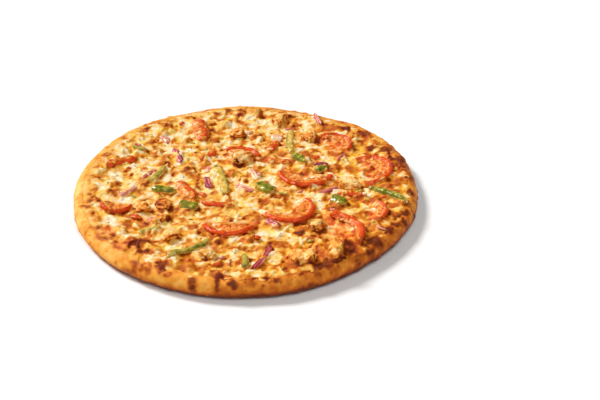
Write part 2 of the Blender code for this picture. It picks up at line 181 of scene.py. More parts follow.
RED_PATCHES_MM = (
    (-43, 98, 6, 24, 4, 0.6), (26, 66, 5, 11, -8, 0.6), (32, 36, 10, 6, 0, 0.4), (64, 42, 5, 14, 0, 0.7),
    (82, 60, 14, 11, 0, 0.6), (103, 20, 3, 15, 0, 0.6), (-52, -14, 6, 12, 30, 0.5),
    (-108, -35, 10, 10, 0, 0.8), (-97, -92, 13, 11, -15, 0.5), (-116, -71, 10, 9, 0, 0.65),
    (-68, -120, 9, 9, 0, 0.3), (54, -112, 9, 12, 0, 0.25), (112, -84, 14, 12, 0, 0.25),
    (134, 26, 11, 32, 5, 0.35), (114, 79, 10, 9, 0, 0.3), (-92, -50, 9, 5, -20, 0.7),
    (7, -87, 5, 3, 0, 0.6), (-20, -122, 10, 5, 0, 0.3), (-30, -102, 8, 6, 0, 0.3),
)

# Tomato slices: x, y and radius of the whole slice that each arc comes from, and the arc's middle direction
# and half width in degrees
TOMATO_SLICES_MM = (
    (53, 14, 25, 260, 88), (107, 16, 24, 8, 90), (35, -44, 23, 300, 102), (-14, -58, 25, 263, 67),
    (66, -84, 29, 24, 62), (100, -52, 18, -2, 56), (-109, -31, 14, 261, 89), (-8, 37, 25, 71, 47),
    (79, 62, 20, 45, 77),
)

# A slice's ribs, and where its skin gives way to pulp, as shares of its radius
SLICE_RIBS = 34
SLICE_INSIDE = (0.86, 0.74)

# How each kind is made finer: voxel in millimetres, rounds of smoothing, coarse and fine roughness as
# (length, depth) in millimetres, and first seed
COOKING = {
    "tomato_slice": (0.55, 6, (5, 0.55), (1.9, 0.22), 200),
    "tomato_wedge": (0.5, 5, (6, 0.7), (2.2, 0.2), 300),
    "pepper": (0.45, 5, (6, 0.6), (2.2, 0.16), 400),
    "onion": (0.4, 4, (6, 0.45), (2, 0.15), 500),
    "chicken": (0.55, 5, (6, 1.1), (2.2, 0.45), 600),
}
ONION_GROOVE = 0.75 * MM
CHICKEN_FIBRE = 0.35 * MM

# How red the skin of each slice still is
SLICE_SKIN = (1, 1, 1, 0.8, 0.65, 1, 0.35, 0.5, 0.85)

# How far each piece and each strip of pepper shows its pale inner flesh
PEPPER_PALENESS = (0, 0, 0, 0, 0, 0, 0.42, 0.6, 0.8, 0.8, 0.1, 0.42, 0.8, 0.42)
# How much more baked than the others each piece of chicken is
CHICKEN_BAKE = (-0.1, 0.12, -0.14, -0.16, -0.06, -0.04, 0, 0, 0.08, 0, 0, 0.34, 0.12)
# How much purple skin each onion sliver shows
ONION_PURPLE = (0.85, 0.85, 0.45, 0.45, 0.25, 1.2, 0.65, 0.55, 0.85, 0.85, 0.18, 0.45, 0.32)

# Small loose bits, with sizes in millimetres
TOMATO_BITS_MM = (
    (64, 44, 8, 4, 40), (-92, -50, 10, 5, -20), (7, -87, 7, 4, 0), (31, -113, 6, 3, 30),
    (-25, -122, 6, 3, 0), (73, -54, 9, 6, 10), (86, -60, 7, 3, 70), (-38, -17, 10, 4, -50),
    (20, 60, 6, 3, 20), (-104, 30, 6, 3, 0), (116, -30, 6, 3, 20), (-60, 112, 7, 4, 60),
)
PEPPER_BITS_MM = (
    (-37, 62, 6, 3, 80), (-97, -17, 6, 3, 0), (50, -90, 6, 3, 30), (-80, 64, 12, 3, 0),
    (32, -19, 9, 2, -10), (-60, -110, 8, 3, 20), (98, -16, 5, 3, 60), (-20, -16, 6, 2, 80),
)
ONION_BITS_MM = (
    (-35, 26, 12, 4, 85), (-76, 82, 17, 6, -60), (-79, -51, 9, 4, 20), (5, 92, 8, 4, 50),
    (108, -78, 10, 3, -50), (-22, -112, 10, 3, 30), (72, -46, 6, 3, 0), (-14, -118, 9, 2, 80),
    (46, -14, 7, 3, 20), (12, 14, 8, 4, 70), (-100, 74, 8, 3, -30), (40, 98, 7, 3, 0),
)
BIT_ROWS = 12
BIT_SIDES = 10
HERB_SPECKS = 100

# Colours by how baked, with its painted shade, red or purple a place is: share, then red, green and blue in
# sRGB
BAKED_CHEESE = (
    (0.0, (255, 232, 200)), (0.08, (255, 220, 164)), (0.21, (249, 204, 128)), (0.36, (241, 182, 85)),
    (0.5, (227, 152, 49)), (0.64, (209, 119, 22)), (0.78, (183, 84, 7)), (0.9, (148, 57, 4)),
    (1.0, (104, 36, 3)),
)
OILY_CHEESE = ((0.0, (254, 216, 96)), (0.4, (244, 178, 40)), (0.7, (216, 124, 18)), (1.0, (138, 58, 8)))
COVERED_TOMATO = ((0.0, (248, 166, 78)), (0.35, (236, 116, 38)), (0.7, (206, 66, 16)), (1.0, (130, 30, 8)))
BAKED_DOUGH = (
    (0.0, (249, 208, 130)), (0.2, (246, 186, 92)), (0.4, (234, 154, 50)), (0.6, (206, 110, 24)),
    (0.8, (158, 70, 12)), (1.0, (106, 40, 8)),
)
RED_ONION = (
    (0.0, (247, 217, 180)), (0.3, (237, 174, 138)), (0.55, (215, 114, 102)), (0.8, (196, 70, 84)),
    (1.0, (142, 36, 54)),
)
BAKED_CHICKEN = (
    (0.0, (255, 211, 142)), (0.24, (253, 188, 98)), (0.5, (241, 153, 52)), (0.7, (216, 108, 25)),
    (0.87, (166, 72, 14)), (1.0, (100, 38, 9)),
)

# Where the key light stands, and how wide it looks from the pizza in degrees
KEY_PLACE = (-0.8, 0.62, 0.85)
KEY_SPREAD = 20

# The camera, at the photo's viewing angle
CAMERA_DISTANCE = 0.9
CAMERA_ELEVATION = 32.06
CAMERA_ROLL = 1.44
CAMERA_YAW = -2.97
CAMERA_PITCH = -0.27
CAMERA_LENS_MM = 61.4
SENSOR_WIDTH_MM = 36.0

FLOOR_HALF = 6.0


# Noise

GRADIENTS = np.array([g for g in itertools.product((-1, 0, 1), repeat=3) if sum(map(abs, g)) == 2], float)
CELL_PRIMES = np.array((374761393, 668265263, 2246822519), np.uint32)
SEED_PRIME = 3266489917
MIXING_PRIME = 1274126177
NOISE_GAIN = 1.25


def scrambled(cells, seed):
    """A whole number for each cell, unlike its neighbours'."""
    mixed = (cells.astype(np.uint32) * CELL_PRIMES).sum(axis=-1, dtype=np.uint32)
    mixed = mixed + np.uint32((seed * SEED_PRIME) & 0xFFFFFFFF)
    mixed = (mixed ^ (mixed >> np.uint32(13))) * np.uint32(MIXING_PRIME)
    return mixed ^ (mixed >> np.uint32(16))


def noise_at(points, length, seed):
    """Smooth noise from about -1 to 1 at each point, with bumps about length millimetres apart."""
    scaled = points / (length * MM) + 100.0
    cell = np.floor(scaled).astype(np.int64)
    part = scaled - cell
    fade = part**3 * (part * (part * 6 - 15) + 10)
    total = np.zeros(len(points))
    for corner in itertools.product((0, 1), repeat=3):
        gradient = GRADIENTS[scrambled(cell + corner, seed) % len(GRADIENTS)]
        weight = np.prod(np.where(corner, fade, 1 - fade), axis=1)
        total += weight * ((part - corner) * gradient).sum(axis=1)
    return total * NOISE_GAIN


def layered_noise(points, rows):
    """The sum of noises: rows of length in millimetres, weight and seed."""
    return sum(weight * noise_at(points, length, seed) for length, weight, seed in rows)


def smoothstep(low, high, value):
    share = np.clip((value - low) / (high - low), 0, 1)
    return share * share * (3 - 2 * share)


# Directions

def degrees_off(angle, direction):
    """How many degrees an angle in radians is from a direction in degrees."""
    return (np.degrees(angle) - direction + 180) % 360 - 180


def bell(off, spread):
    return np.exp(-((off / spread) ** 2))


def bells(angle, rows):
    """The sum of smooth changes by direction: rows of centre, change and spread, in degrees."""
    return sum(change * bell(degrees_off(angle, centre), spread) for centre, change, spread in rows)


def turned(x, y, turn):
    """A place as seen from axes that are turned by that many radians."""
    return x * math.cos(turn) + y * math.sin(turn), -x * math.sin(turn) + y * math.cos(turn)


def side_of(number):
    """Every other piece faces the other way."""
    return 1 if number % 2 else -1


def random_place(random, radius):
    """A random place on a disc about the origin."""
    angle, away = random.uniform(0, 2 * math.pi), radius * math.sqrt(random.uniform())
    return away * math.cos(angle), away * math.sin(angle)


# Meshes

def add_object(name, data):
    made = bpy.data.objects.new(name, data)
    bpy.context.scene.collection.objects.link(made)
    return made


def mesh_object(name, points, faces):
    """An object from arrays of points and of faces with equal numbers of corners."""
    faces = np.asarray(faces, np.int32)
    data = bpy.data.meshes.new(name)
    data.vertices.add(len(points))
    data.vertices.foreach_set("co", np.asarray(points, np.float32).ravel())
    data.loops.add(faces.size)
    data.loops.foreach_set("vertex_index", faces.ravel())
    data.polygons.add(len(faces))
    data.polygons.foreach_set("loop_start", np.arange(0, faces.size, faces.shape[1], dtype=np.int32))
    data.update(calc_edges=True)
    data.shade_smooth()
    return add_object(name, data)


def tube_faces(rows, columns):
    """The four-sided faces between closed rings of points that follow one another."""
    index = np.arange(rows * columns).reshape(rows, columns)
    ring = np.roll(index, -1, axis=1)
    return np.stack((index[:-1], ring[:-1], ring[1:], index[1:]), axis=-1).reshape(-1, 4)


def vectors_of(items, name):
    numbers = np.empty(len(items) * 3, np.float32)
    items.foreach_get(name, numbers)
    return numbers.reshape(-1, 3).astype(float)


def points_of(piece):
    return vectors_of(piece.data.vertices, "co")


def normals_of(piece):
    return vectors_of(piece.data.vertex_normals, "vector")


def move_points(piece, points):
    piece.data.vertices.foreach_set("co", np.asarray(points, np.float32).ravel())
    piece.data.update()


def paint(piece, **values):
    """Stores one number for each point under each name, for the material to read."""
    for name, numbers in values.items():
        attribute = piece.data.attributes.new(name, "FLOAT", "POINT")
        numbers = np.broadcast_to(numbers, len(piece.data.vertices))
        attribute.data.foreach_set("value", numbers.astype(np.float32))


def settle_piece(piece, slot, material, *nodes):
    """Gives a piece its material and its body, and hides the solids that it stands for."""
    piece.data.materials.clear()
    piece.data.materials.append(material)
    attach(piece, ROOT)
    if nodes:
        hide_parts(*nodes)


# The crust

def rim_wave(length, seed):
    """The model's own unevenness round the rim."""
    rings = [Vector((math.cos(a) / length, math.sin(a) / length, 7.3 * seed)) for a in ANGLES]
    return np.array([noise.noise(place) for place in rings])


def section_curve():
    """The crust's section as a smooth curve through its points: rows of share, height and wander."""
    rows = np.array(CRUST_SECTION)
    padded = np.vstack((2 * rows[0] - rows[1], rows, 2 * rows[-1] - rows[-2]))
    t = np.arange(CRUST_ROWS_PER_SPAN)[:, None] / CRUST_ROWS_PER_SPAN
    spans = []
    for before, start, end, after in zip(padded, padded[1:], padded[2:], padded[3:]):
        slope_in, slope_out = (end - before) / 2, (after - start) / 2
        spans.append(
            (2 * t**3 - 3 * t**2 + 1) * start + (t**3 - 2 * t**2 + t) * slope_in
            + (3 * t**2 - 2 * t**3) * end + (t**3 - t**2) * slope_out
        )
    curve = np.vstack((*spans, rows[-1]))
    curve[:, 1] = np.maximum(curve[:, 1], 0)
    return curve


ANGLES = np.linspace(0, 2 * math.pi, CRUST_SECTORS, endpoint=False)
OUTLINE = PIZZA_RADIUS * (1 + bells(ANGLES, OUTLINE_BULGES) + 0.004 * rim_wave(0.3, 1))
DRIFT = rim_wave(0.42, 2)
SWELL = 1 + 0.1 * rim_wave(0.35, 3)
OUTLINE_MIDDLE = [
    (np.max(OUTLINE * turn(ANGLES)) + np.min(OUTLINE * turn(ANGLES))) / 2 for turn in (np.cos, np.sin)
]


def outline_at(angle):
    """The outline's radius in any direction, in radians."""
    return np.interp(angle % (2 * math.pi), np.append(ANGLES, 2 * math.pi), np.append(OUTLINE, OUTLINE[0]))


def make_crust():
    """The dough: flat browned underside, risen rim, and the slope that goes in under the cheese."""
    curve = section_curve()
    share, height, wander = (curve[:, i][:, None] for i in range(3))
    radius = OUTLINE * (share + wander * DRIFT)
    x = radius * np.cos(ANGLES) - OUTLINE_MIDDLE[0]
    y = radius * np.sin(ANGLES) - OUTLINE_MIDDLE[1]
    z = height * CREST_HEIGHT * np.where(share > RIM_START, SWELL, 1.0)
    points = np.stack((x, y, z), axis=-1).reshape(-1, 3)
    crust = mesh_object("crust_baked", points, tube_faces(len(curve), CRUST_SECTORS))
    roughen_crust(crust)
    return crust


def roughen_crust(crust):
    """Soft swells, small blisters and fine grain on the rim, none on the flat underside."""
    points, normals = points_of(crust), normals_of(crust)
    on_rim = smoothstep(0.2 * MM, 3 * MM, points[:, 2])
    blisters = smoothstep(0.38, 0.75, noise_at(points, 9, 14)) * CRUST_BLISTER
    rise = (layered_noise(points, CRUST_RELIEF) + blisters - CRUST_INSET) * MM * on_rim
    moved = points + normals * rise[:, None]
    moved[:, 2] = np.maximum(moved[:, 2], 0)
    move_points(crust, moved)
    bake = dough_bake(points) + 0.25 * blisters
    underside = smoothstep(0.4 * MM, 0.1 * MM, points[:, 2])
    bake = bake * (1 - underside) + underside * (0.42 + 0.16 * noise_at(points, 22, 15))
    paint(crust, bake=np.clip(bake, 0, 1), flour=underside)


def dough_bake(points):
    """How brown the bare dough is: by direction (partly painted shade away from the key light), darker
    lower down as painted shade, and in the browned patches.
    """
    angle = np.degrees(np.arctan2(points[:, 1], points[:, 0])) % 360
    # The crest is browner on the side away from the key light: partly its own browning, partly painted
    # shade.
    crest = np.interp(angle, *zip(*DOUGH_BAKE_AND_SHADE))
    low_side = smoothstep(12 * MM, 1.5 * MM, points[:, 2])
    upper = smoothstep(4 * MM, 11 * MM, points[:, 2])
    # low_side darkens the lower outer face of the crust: painted shade.
    bake = crest + (0.3 + 0.5 * crest) * low_side
    bake += layered_noise(points, ((22, 0.1, 15), (9, 0.08 + 0.11 * upper, 16), (4, 0.11, 17)))
    bake += 0.24 * smoothstep(0.42, 0.75, noise_at(points, 2.8, 18))
    return bake + patches(points, BROWNED_AND_SHADOW_PATCHES_MM) * smoothstep(5 * MM, 10.5 * MM, points[:, 2])


def patches(points, rows):
    """The total strength of the patches at each point, with soft and ragged edges."""
    x, y = (points[:, i] + 2.4 * MM * noise_at(points, 6, 71 + i) for i in range(2))
    ragged = np.clip(1 + 0.8 * noise_at(points, 5, 56), 0.2, 1.5)
    total = np.zeros(len(points))
    for middle_x, middle_y, across, along, heading, strength in rows:
        u, v = turned(x - middle_x * MM, y - middle_y * MM, math.radians(heading))
        total += strength * (1 - smoothstep(0.35, 1.15, np.hypot(u / (across * MM), v / (along * MM))))
    return total * ragged


# Toppings

def refined(node, voxel, smoothing):
    """A finer copy of a solid: evenly divided, with its edges rounded as cooking does."""
    piece = add_object(node + "_cooked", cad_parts[node].data.copy())
    remesh = piece.modifiers.new("even", "REMESH")
    remesh.mode = "VOXEL"
    remesh.voxel_size = voxel
    soften = piece.modifiers.new("soften", "SMOOTH")
    soften.factor = 0.5
    soften.iterations = smoothing
    graph = bpy.context.evaluated_depsgraph_get()
    piece.data = bpy.data.meshes.new_from_object(piece.evaluated_get(graph))
    piece.modifiers.clear()
    piece.data.shade_smooth()
    return piece


def roughen(piece, coarse, fine, seed):
    """Pushes a piece's surface in and out: coarse and fine are (length, depth) in millimetres."""
    points = points_of(piece)
    rise = layered_noise(points, ((*coarse, seed), (*fine, seed + 1))) * MM
    move_points(piece, points + normals_of(piece) * rise[:, None])


def local_points(piece):
    """The points along, across and up the piece, from its middle and its lowest point."""
    points = points_of(piece)
    flat = points[:, :2] - points[:, :2].mean(axis=0)
    _, axes = np.linalg.eigh(flat.T @ flat)
    return np.column_stack((flat @ axes[:, 1], flat @ axes[:, 0], points[:, 2] - points[:, 2].min()))


def local_place(piece):
    """How far each point is along, across and up the piece, from -1 to 1 (0 to 1 for up)."""
    local = local_points(piece)
    return (local / np.abs(local).max(axis=0)).T


def keep_in_box(piece, node):
    """Squeezes a roughened piece back into the box of the solid that it stands for."""
    low, high = (np.array(corner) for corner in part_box(node))
    points = points_of(piece)
    scale = np.minimum(1, (high - low) / np.ptp(points, axis=0))
    middle = (points.min(axis=0) + points.max(axis=0)) / 2
    move_points(piece, (low + high) / 2 + (points - middle) * scale)


def make_toppings(kind, slot, material, finish):
    """All pieces of one kind; finish gives each its last shape and returns its painted values."""
    voxel, smoothing, coarse, fine, seed = COOKING[kind]
    made = []
    for number, node in enumerate(sorted(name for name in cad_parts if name.startswith(kind))):
        piece = refined(node, voxel * MM, smoothing)
        roughen(piece, coarse, fine, seed + 10 * number)
        paint(piece, **finish(piece, node, number))
        settle_piece(piece, slot, material, node)
        made.append(piece)
    return made


def char_of(points, seed):
    """Patches that the oven has scorched a little."""
    return smoothstep(0.15, 0.75, layered_noise(points, ((8, 1, seed), (3, 0.35, seed))))


def finish_slice(piece, node, number):
    """A slice of tomato: taut red skin outside, ribbed flesh, and soft pulp towards the middle."""
    x, y, size = (value * MM for value in TOMATO_SLICES_MM[number][:3])
    points = points_of(piece)
    dx, dy = points[:, 0] - x, points[:, 1] - y
    reach = np.hypot(dx, dy) / size
    inner = smoothstep(*SLICE_INSIDE, reach)
    ribs = np.sin(np.arctan2(dy, dx) * SLICE_RIBS + 3 * noise_at(points, 6, 230 + number))
    points[:, 2] += inner * (0.22 * ribs + 0.5 * noise_at(points, 3.5, 240 + number)) * MM
    move_points(piece, points)
    keep_in_box(piece, node)
    skin = smoothstep(0.83, 0.91, reach + 0.02 * noise_at(points, 4, 250 + number))
    return {"skin": SLICE_SKIN[number] * skin, "pulp": inner, "char": char_of(points, 260 + number)}


def finish_wedge(piece, node, number):
    """A strip of tomato, with skin along one long side."""
    keep_in_box(piece, node)
    points = points_of(piece)
    side = local_place(piece)[1] * side_of(number) + 0.4 * noise_at(points, 4, 330 + number)
    pulp = smoothstep(0.5, -0.2, side)
    return {"skin": smoothstep(0.15, 0.65, side), "pulp": pulp, "char": char_of(points, 340 + number)}


def finish_pepper(piece, node, number):
    """Green pepper: waxy skin above and pale cut flesh at the sides, or the pale inner side up."""
    keep_in_box(piece, node)
    points, pale = points_of(piece), PEPPER_PALENESS[number]
    along, across, _ = local_place(piece)
    upward = normals_of(piece)[:, 2] + 0.15 * noise_at(points, 3, 430 + number)
    edge_skin = smoothstep(0.35, 0.85, across * side_of(number)) * (pale > 0)
    flesh = pale * (1 - 0.9 * edge_skin) + (1 - pale) * smoothstep(0.45, 0.05, upward)
    flesh = np.clip(flesh - 0.3 * noise_at(points, 5, 440 + number), 0, 1)
    return {"flesh": flesh, "char": char_of(points, 450 + number) * smoothstep(0.2, 0.9, np.abs(along))}


def finish_onion(piece, node, number):
    """Red onion: milky layers with grooves between them, and purple skin along one side."""
    points, purple = points_of(piece), ONION_PURPLE[number]
    along, across, up = local_place(piece)
    layers = np.abs(np.sin(across * 4.4 + 0.8 * noise_at(points, 9, 520 + number)))
    points[:, 2] -= ONION_GROOVE * (1 - layers) ** 2 * smoothstep(0.3, 0.7, up)
    move_points(piece, points)
    keep_in_box(piece, node)
    stripes = 0.16 * np.sin(across * 9 + 2.5 * noise_at(points, 7, 530 + number))
    uneven = 0.45 * across * side_of(number) + stripes + 0.3 * noise_at(points, 5, 540 + number)
    skin = np.clip(purple + (0.4 + 0.6 * min(purple, 1)) * uneven, 0, 1)
    return {"skin": skin, "char": char_of(points, 550 + number) * smoothstep(0.5, 1.0, np.abs(along))}


def finish_chicken(piece, node, number):
    """Chicken: fibrous and pale in the hollows, darker on its steep sides, partly browning and partly
    painted shade, and darker on the sides away from the key light as painted shade.
    """
    roughen(piece, (3.4, 0.5), (1.2, 0.16), 605 + 10 * number)
    fibres = noise_at(local_points(piece) * (0.3, 1, 1), 1.5, 630 + number)
    move_points(piece, points_of(piece) + normals_of(piece) * fibres[:, None] * CHICKEN_FIBRE)
    keep_in_box(piece, node)
    normals = normals_of(piece)
    # The steep term darkens steep sides: partly browning, partly painted shade.
    bake = 0.28 + CHICKEN_BAKE[number] + 0.26 * (1 - normals[:, 2])
    # The KEY_PLACE term darkens the sides facing away from the key light: painted shade.
    bake += 0.22 * smoothstep(0.4, -0.5, normals @ KEY_PLACE) + 0.26 * fibres
    bake += layered_noise(points_of(piece), ((7, 0.45, 640 + number), (3, 0.26, 650 + number)))
    return {"bake": np.clip(bake, 0, 1)}


# The cheese

GRID_COUNT = int(2 * GRID_HALF / GRID_STEP) + 1
AXIS = (np.arange(GRID_COUNT) - (GRID_COUNT - 1) / 2) * GRID_STEP
GRID_X, GRID_Y = np.meshgrid(AXIS, AXIS, indexing="ij")
GRID_POINTS = np.stack((GRID_X, GRID_Y, np.zeros_like(GRID_X)), axis=-1).reshape(-1, 3)


def grid_noise(length, seed):
    return noise_at(GRID_POINTS, length, seed).reshape(GRID_X.shape)


def grid_layers(rows):
    return layered_noise(GRID_POINTS, rows).reshape(GRID_X.shape)


def grid_patches(rows):
    return patches(GRID_POINTS, rows).reshape(GRID_X.shape)


def blurred(field, spread):
    """The field softened over that distance."""
    fx = np.fft.fftfreq(field.shape[0], GRID_STEP)[:, None]
    fy = np.fft.rfftfreq(field.shape[1], GRID_STEP)[None, :]
    softened = np.fft.rfft2(field) * np.exp(-2 * (np.pi * spread) ** 2 * (fx**2 + fy**2))
    return np.fft.irfft2(softened, field.shape)


def tops_of(pieces, missing):
    """The height of the highest of the pieces over each grid point, or missing where there is none."""
    heights = np.full(GRID_X.shape, missing)
    for piece in pieces:
        points = points_of(piece)
        tree = BVHTree.FromPolygons(points.tolist(), [tuple(p.vertices) for p in piece.data.polygons])
        low, high = points.min(axis=0), points.max(axis=0)
        spans = [np.where((AXIS >= low[i]) & (AXIS <= high[i]))[0] for i in range(2)]
        for i, j in itertools.product(*spans):
            hit = tree.ray_cast(Vector((AXIS[i], AXIS[j], 0.1)), Vector((0, 0, -1)))[0]
            if hit and hit.z > heights[i, j]:
                heights[i, j] = hit.z
    return heights


def window_at(place, reach):
    """The part of the grid round a place, and the distances from it in x and y."""
    window = tuple(slice(*np.searchsorted(AXIS, (value - reach, value + reach))) for value in place)
    return window, GRID_X[window] - place[0], GRID_Y[window] - place[1]


def add_mounds(field, count, seed, radius, height):
    """Adds oval mounds at random places; radius (in millimetres) and height are ranges."""
    random = np.random.default_rng(seed)
    for _ in range(count):
        place = random_place(random, MOUNDS_REACH)
        size = random.uniform(*radius) * MM
        stretch, turn = random.uniform(0.6, 1.0), random.uniform(0, math.pi)
        rise = random.uniform(*height)
        window, dx, dy = window_at(place, size * 1.3)
        u, v = turned(dx, dy, turn)
        dome = np.clip(1 - (u / size) ** 2 - (v / (size * stretch)) ** 2, 0, 1)
        field[window] += rise * dome * (1.6 - 0.6 * dome)


def add_strands(field, count, seed):
    """Adds the curved ridges that shreds of cheese leave where they haven't quite melted flat."""
    random = np.random.default_rng(seed)
    for _ in range(count):
        place = random_place(random, STRANDS_REACH)
        length, width = random.uniform(4, 11) * MM, random.uniform(0.7, 1.5) * MM
        turn, bend = random.uniform(0, math.pi), random.uniform(-1, 1) * 0.22
        rise = random.uniform(0.5, 1.2)
        window, dx, dy = window_at(place, length)
        u, v = turned(dx, dy, turn)
        ends = smoothstep(length, length * 0.55, np.abs(u))
        field[window] += rise * ends * bell(v - bend * u * u / length, width)


def make_relief(cream):
    """Crumbs and blisters where the cheese has browned, and smooth runs with strands where it is pale."""
    lumpy, strands = np.zeros(GRID_X.shape), np.zeros(GRID_X.shape)
    for count, seed, radius, height in CHEESE_MOUNDS:
        add_mounds(lumpy, count, seed, radius, height)
    add_strands(strands, STRANDS, 33)
    lumpy = (lumpy + grid_layers(LUMPY_NOISE)) * MM
    smooth = (strands + grid_layers(SMOOTH_NOISE)) * MM
    lumpy, smooth = lumpy - lumpy.mean(), smooth - smooth.mean()
    return lumpy * (1 - 0.75 * cream) + smooth * (0.25 + 0.75 * cream), strands


def make_cheese(crust, toppings, soft_toppings):
    """The cheese's surface on a fine grid, risen round the toppings and over some of their edges."""
    solid_top = tops_of([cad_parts["cheese"], crust], 0.0)
    out_x, out_y = GRID_X + OUTLINE_MIDDLE[0], GRID_Y + OUTLINE_MIDDLE[1]
    angle = np.arctan2(out_y, out_x)
    share = np.hypot(out_y, out_x) / outline_at(angle)
    banked = CHEESE_LEVEL + CHEESE_BANK * smoothstep(0.76, 0.92, share)
    filled = np.where(share < CREST_SHARE, np.maximum(solid_top, banked), solid_top)
    at_rim = smoothstep(0.915, 0.945, share)
    base = blurred(filled, 1.6 * MM) * (1 - at_rim) + blurred(solid_top, 0.7 * MM) * at_rim
    reach = CHEESE_REACH + bells(angle, CHEESE_REACH_CHANGES)
    seam = np.clip(reach, *SEAM_LIMITS) + 0.006 * grid_noise(14, 23)
    past_reach = share - (reach + grid_layers(REACH_NOISE))

    topping_top = tops_of(toppings, -1.0)
    covered = (topping_top > 0).astype(float)
    near = blurred(covered, 1.9 * MM)
    cream = smoothstep(-0.08, 0.36, grid_layers(CREAM_NOISE))
    relief, strands = make_relief(cream)
    inside = smoothstep(0.012, -0.035, past_reach)
    clinging = smoothstep(0.1, 0.6, 0.6 + 0.5 * grid_noise(9, 37)) * near
    surface = base + relief * (1 - 0.75 * near) * (0.12 + 0.88 * inside) + CHEESE_CLIMB * clinging

    film = grid_noise(6.5, 41) + 0.9 * (0.62 - near) - 0.12
    film += 0.22 * (tops_of(soft_toppings, -1.0) > 0) + 0.34 * slice_insides()
    film = smoothstep(0.05, 0.45, film)
    over = topping_top + (film - 0.72) * MM
    surface = np.where((covered > 0) & (film > 0.25), np.maximum(surface, over), surface)

    surface = np.minimum(surface, CAD_BOX[1][2] - 0.6 * MM)
    sink = smoothstep(-0.02, 0.025, share - seam)
    surface = surface + (0.35 - 2.2 * sink) * MM * smoothstep(0.8, 0.9, share)
    keep = share < np.minimum(seam + 0.028, 0.984)
    cheese = grid_mesh("cheese_melted", surface, keep)
    lee = lee_of(np.maximum(surface, topping_top), surface)
    values = cheese_values(keep, surface, relief, cream, strands, past_reach, film * covered, lee)
    paint(cheese, **{name: np.clip(value, 0, 1)[keep] for name, value in values.items()})
    return cheese


def lee_of(heights, surface):
    """How far each point of the surface lies in the lee of the heights, away from the key light: painted
    shade for the cheese's colour.
    """
    away = math.hypot(*KEY_PLACE[:2])
    deepest = np.zeros(surface.shape)
    for cells in range(2, 17, 2):
        shift = tuple(round(-KEY_PLACE[i] / away * cells) for i in range(2))
        over = np.roll(heights, shift, (0, 1)) - surface - cells * GRID_STEP * KEY_PLACE[2] / away
        deepest = np.maximum(deepest, smoothstep(-0.3 * MM, 1.4 * MM, over))
    return blurred(deepest, 0.6 * MM)


def grid_mesh(name, heights, keep):
    """A mesh of the grid squares whose four corners are kept."""
    index = np.full(heights.shape, -1)
    index[keep] = np.arange(keep.sum())
    corners = np.stack((index[:-1, :-1], index[1:, :-1], index[1:, 1:], index[:-1, 1:]), axis=-1)
    corners = corners.reshape(-1, 4)
    points = np.stack((GRID_X[keep], GRID_Y[keep], heights[keep]), axis=-1)
    return mesh_object(name, points, corners[(corners >= 0).all(axis=1)])


def ranked(field, inside):
    """The rank of each of the field's values on the inside, from 0 to 1."""
    order = np.argsort(np.argsort(field[inside]))
    even = np.zeros(field.shape)
    even[inside] = order / order.size
    return even


def slice_insides():
    """1 inside the skin of each tomato slice, 0 elsewhere."""
    inside = np.zeros(GRID_X.shape)
    for x, y, size, _, _ in TOMATO_SLICES_MM:
        reach = np.hypot(GRID_X / MM - x, GRID_Y / MM - y) / size
        inside = np.maximum(inside, smoothstep(*SLICE_INSIDE, reach))
    return inside


def pulp_areas(uneven):
    """Where soft tomato shows through the cheese: inside each slice's arc."""
    red = np.zeros(GRID_X.shape)
    for x, y, size, middle, half in TOMATO_SLICES_MM:
        dx, dy = GRID_X / MM - x, GRID_Y / MM - y
        reach = np.hypot(dx, dy) / size + 0.12 * uneven
        off = np.abs(degrees_off(np.arctan2(dy, dx), middle)) + 25 * uneven
        towards = smoothstep(half + 45, half - 15, off) * np.where(reach > 0.35, 1, 0.8)
        red = np.maximum(red, smoothstep(1.02, 0.9, reach) * towards)
    return red


def cheese_values(keep, surface, relief, cream, strands, past_reach, film, lee):
    """How baked the cheese is at each point, with painted shade added, how oily, and where tomato or bare
    dough shows.
    """
    hollow = (blurred(relief, 2.2 * MM) - relief) / MM
    steep = np.minimum(np.hypot(*np.gradient(blurred(surface, 0.6 * MM), GRID_STEP)), 1.2)
    # The hollow and steep terms darken hollows and steep slopes: painted shade.
    bake = 0.06 * relief / MM + grid_layers(BAKE_NOISE) + 0.24 * hollow + 0.24 * steep
    bake -= cream * (0.38 + 0.22 * np.minimum(strands, 1)) + 0.2 * film
    bake -= 0.55 * grid_patches(PALE_PATCHES_MM)
    bake += (0.16 * GRID_X - 0.07 * GRID_Y) / PIZZA_RADIUS
    # The lee term darkens the cheese on the side of raised parts away from the key light: painted shade.
    bake = 0.88 * ranked(bake, keep) - 0.06 + 0.26 * lee
    blisters = np.zeros(GRID_X.shape)
    add_mounds(blisters, *BROWN_BLISTERS)
    bake += np.minimum(blisters, 0.6) * (1 - 0.75 * cream)
    near_rim = smoothstep(-0.11, -0.04, past_reach) * smoothstep(0.03, -0.01, past_reach)
    bake += 0.34 * near_rim * smoothstep(0.0, 0.35, grid_layers(RIM_BROWNING_NOISE))
    bake += grid_patches(BROWNED_AND_SHADOW_PATCHES_MM)
    pulp = pulp_areas(grid_noise(5, 57)) * smoothstep(-0.45, 0.25, grid_noise(4, 61))
    pulp += 0.35 * smoothstep(0.4, 0.7, grid_noise(12, 58)) + 0.8 * grid_patches(RED_PATCHES_MM)
    # The hollow term makes the hollows more golden: partly oil pooled there, partly painted shade.
    gold = 0.8 * smoothstep(0.1, 0.45, grid_noise(10, 62) + 0.2 * hollow)
    gold += grid_patches(GOLDEN_PATCHES_MM)
    edge = smoothstep(-0.045, 0.005, past_reach + 0.03 * grid_noise(7, 63))
    dough = dough_bake(GRID_POINTS + (0, 0, CREST_HEIGHT)).reshape(GRID_X.shape)
    return {"bake": bake, "pulp": pulp * (1 - 0.5 * film), "gold": gold, "edge": edge, "dough": dough}


# Small bits

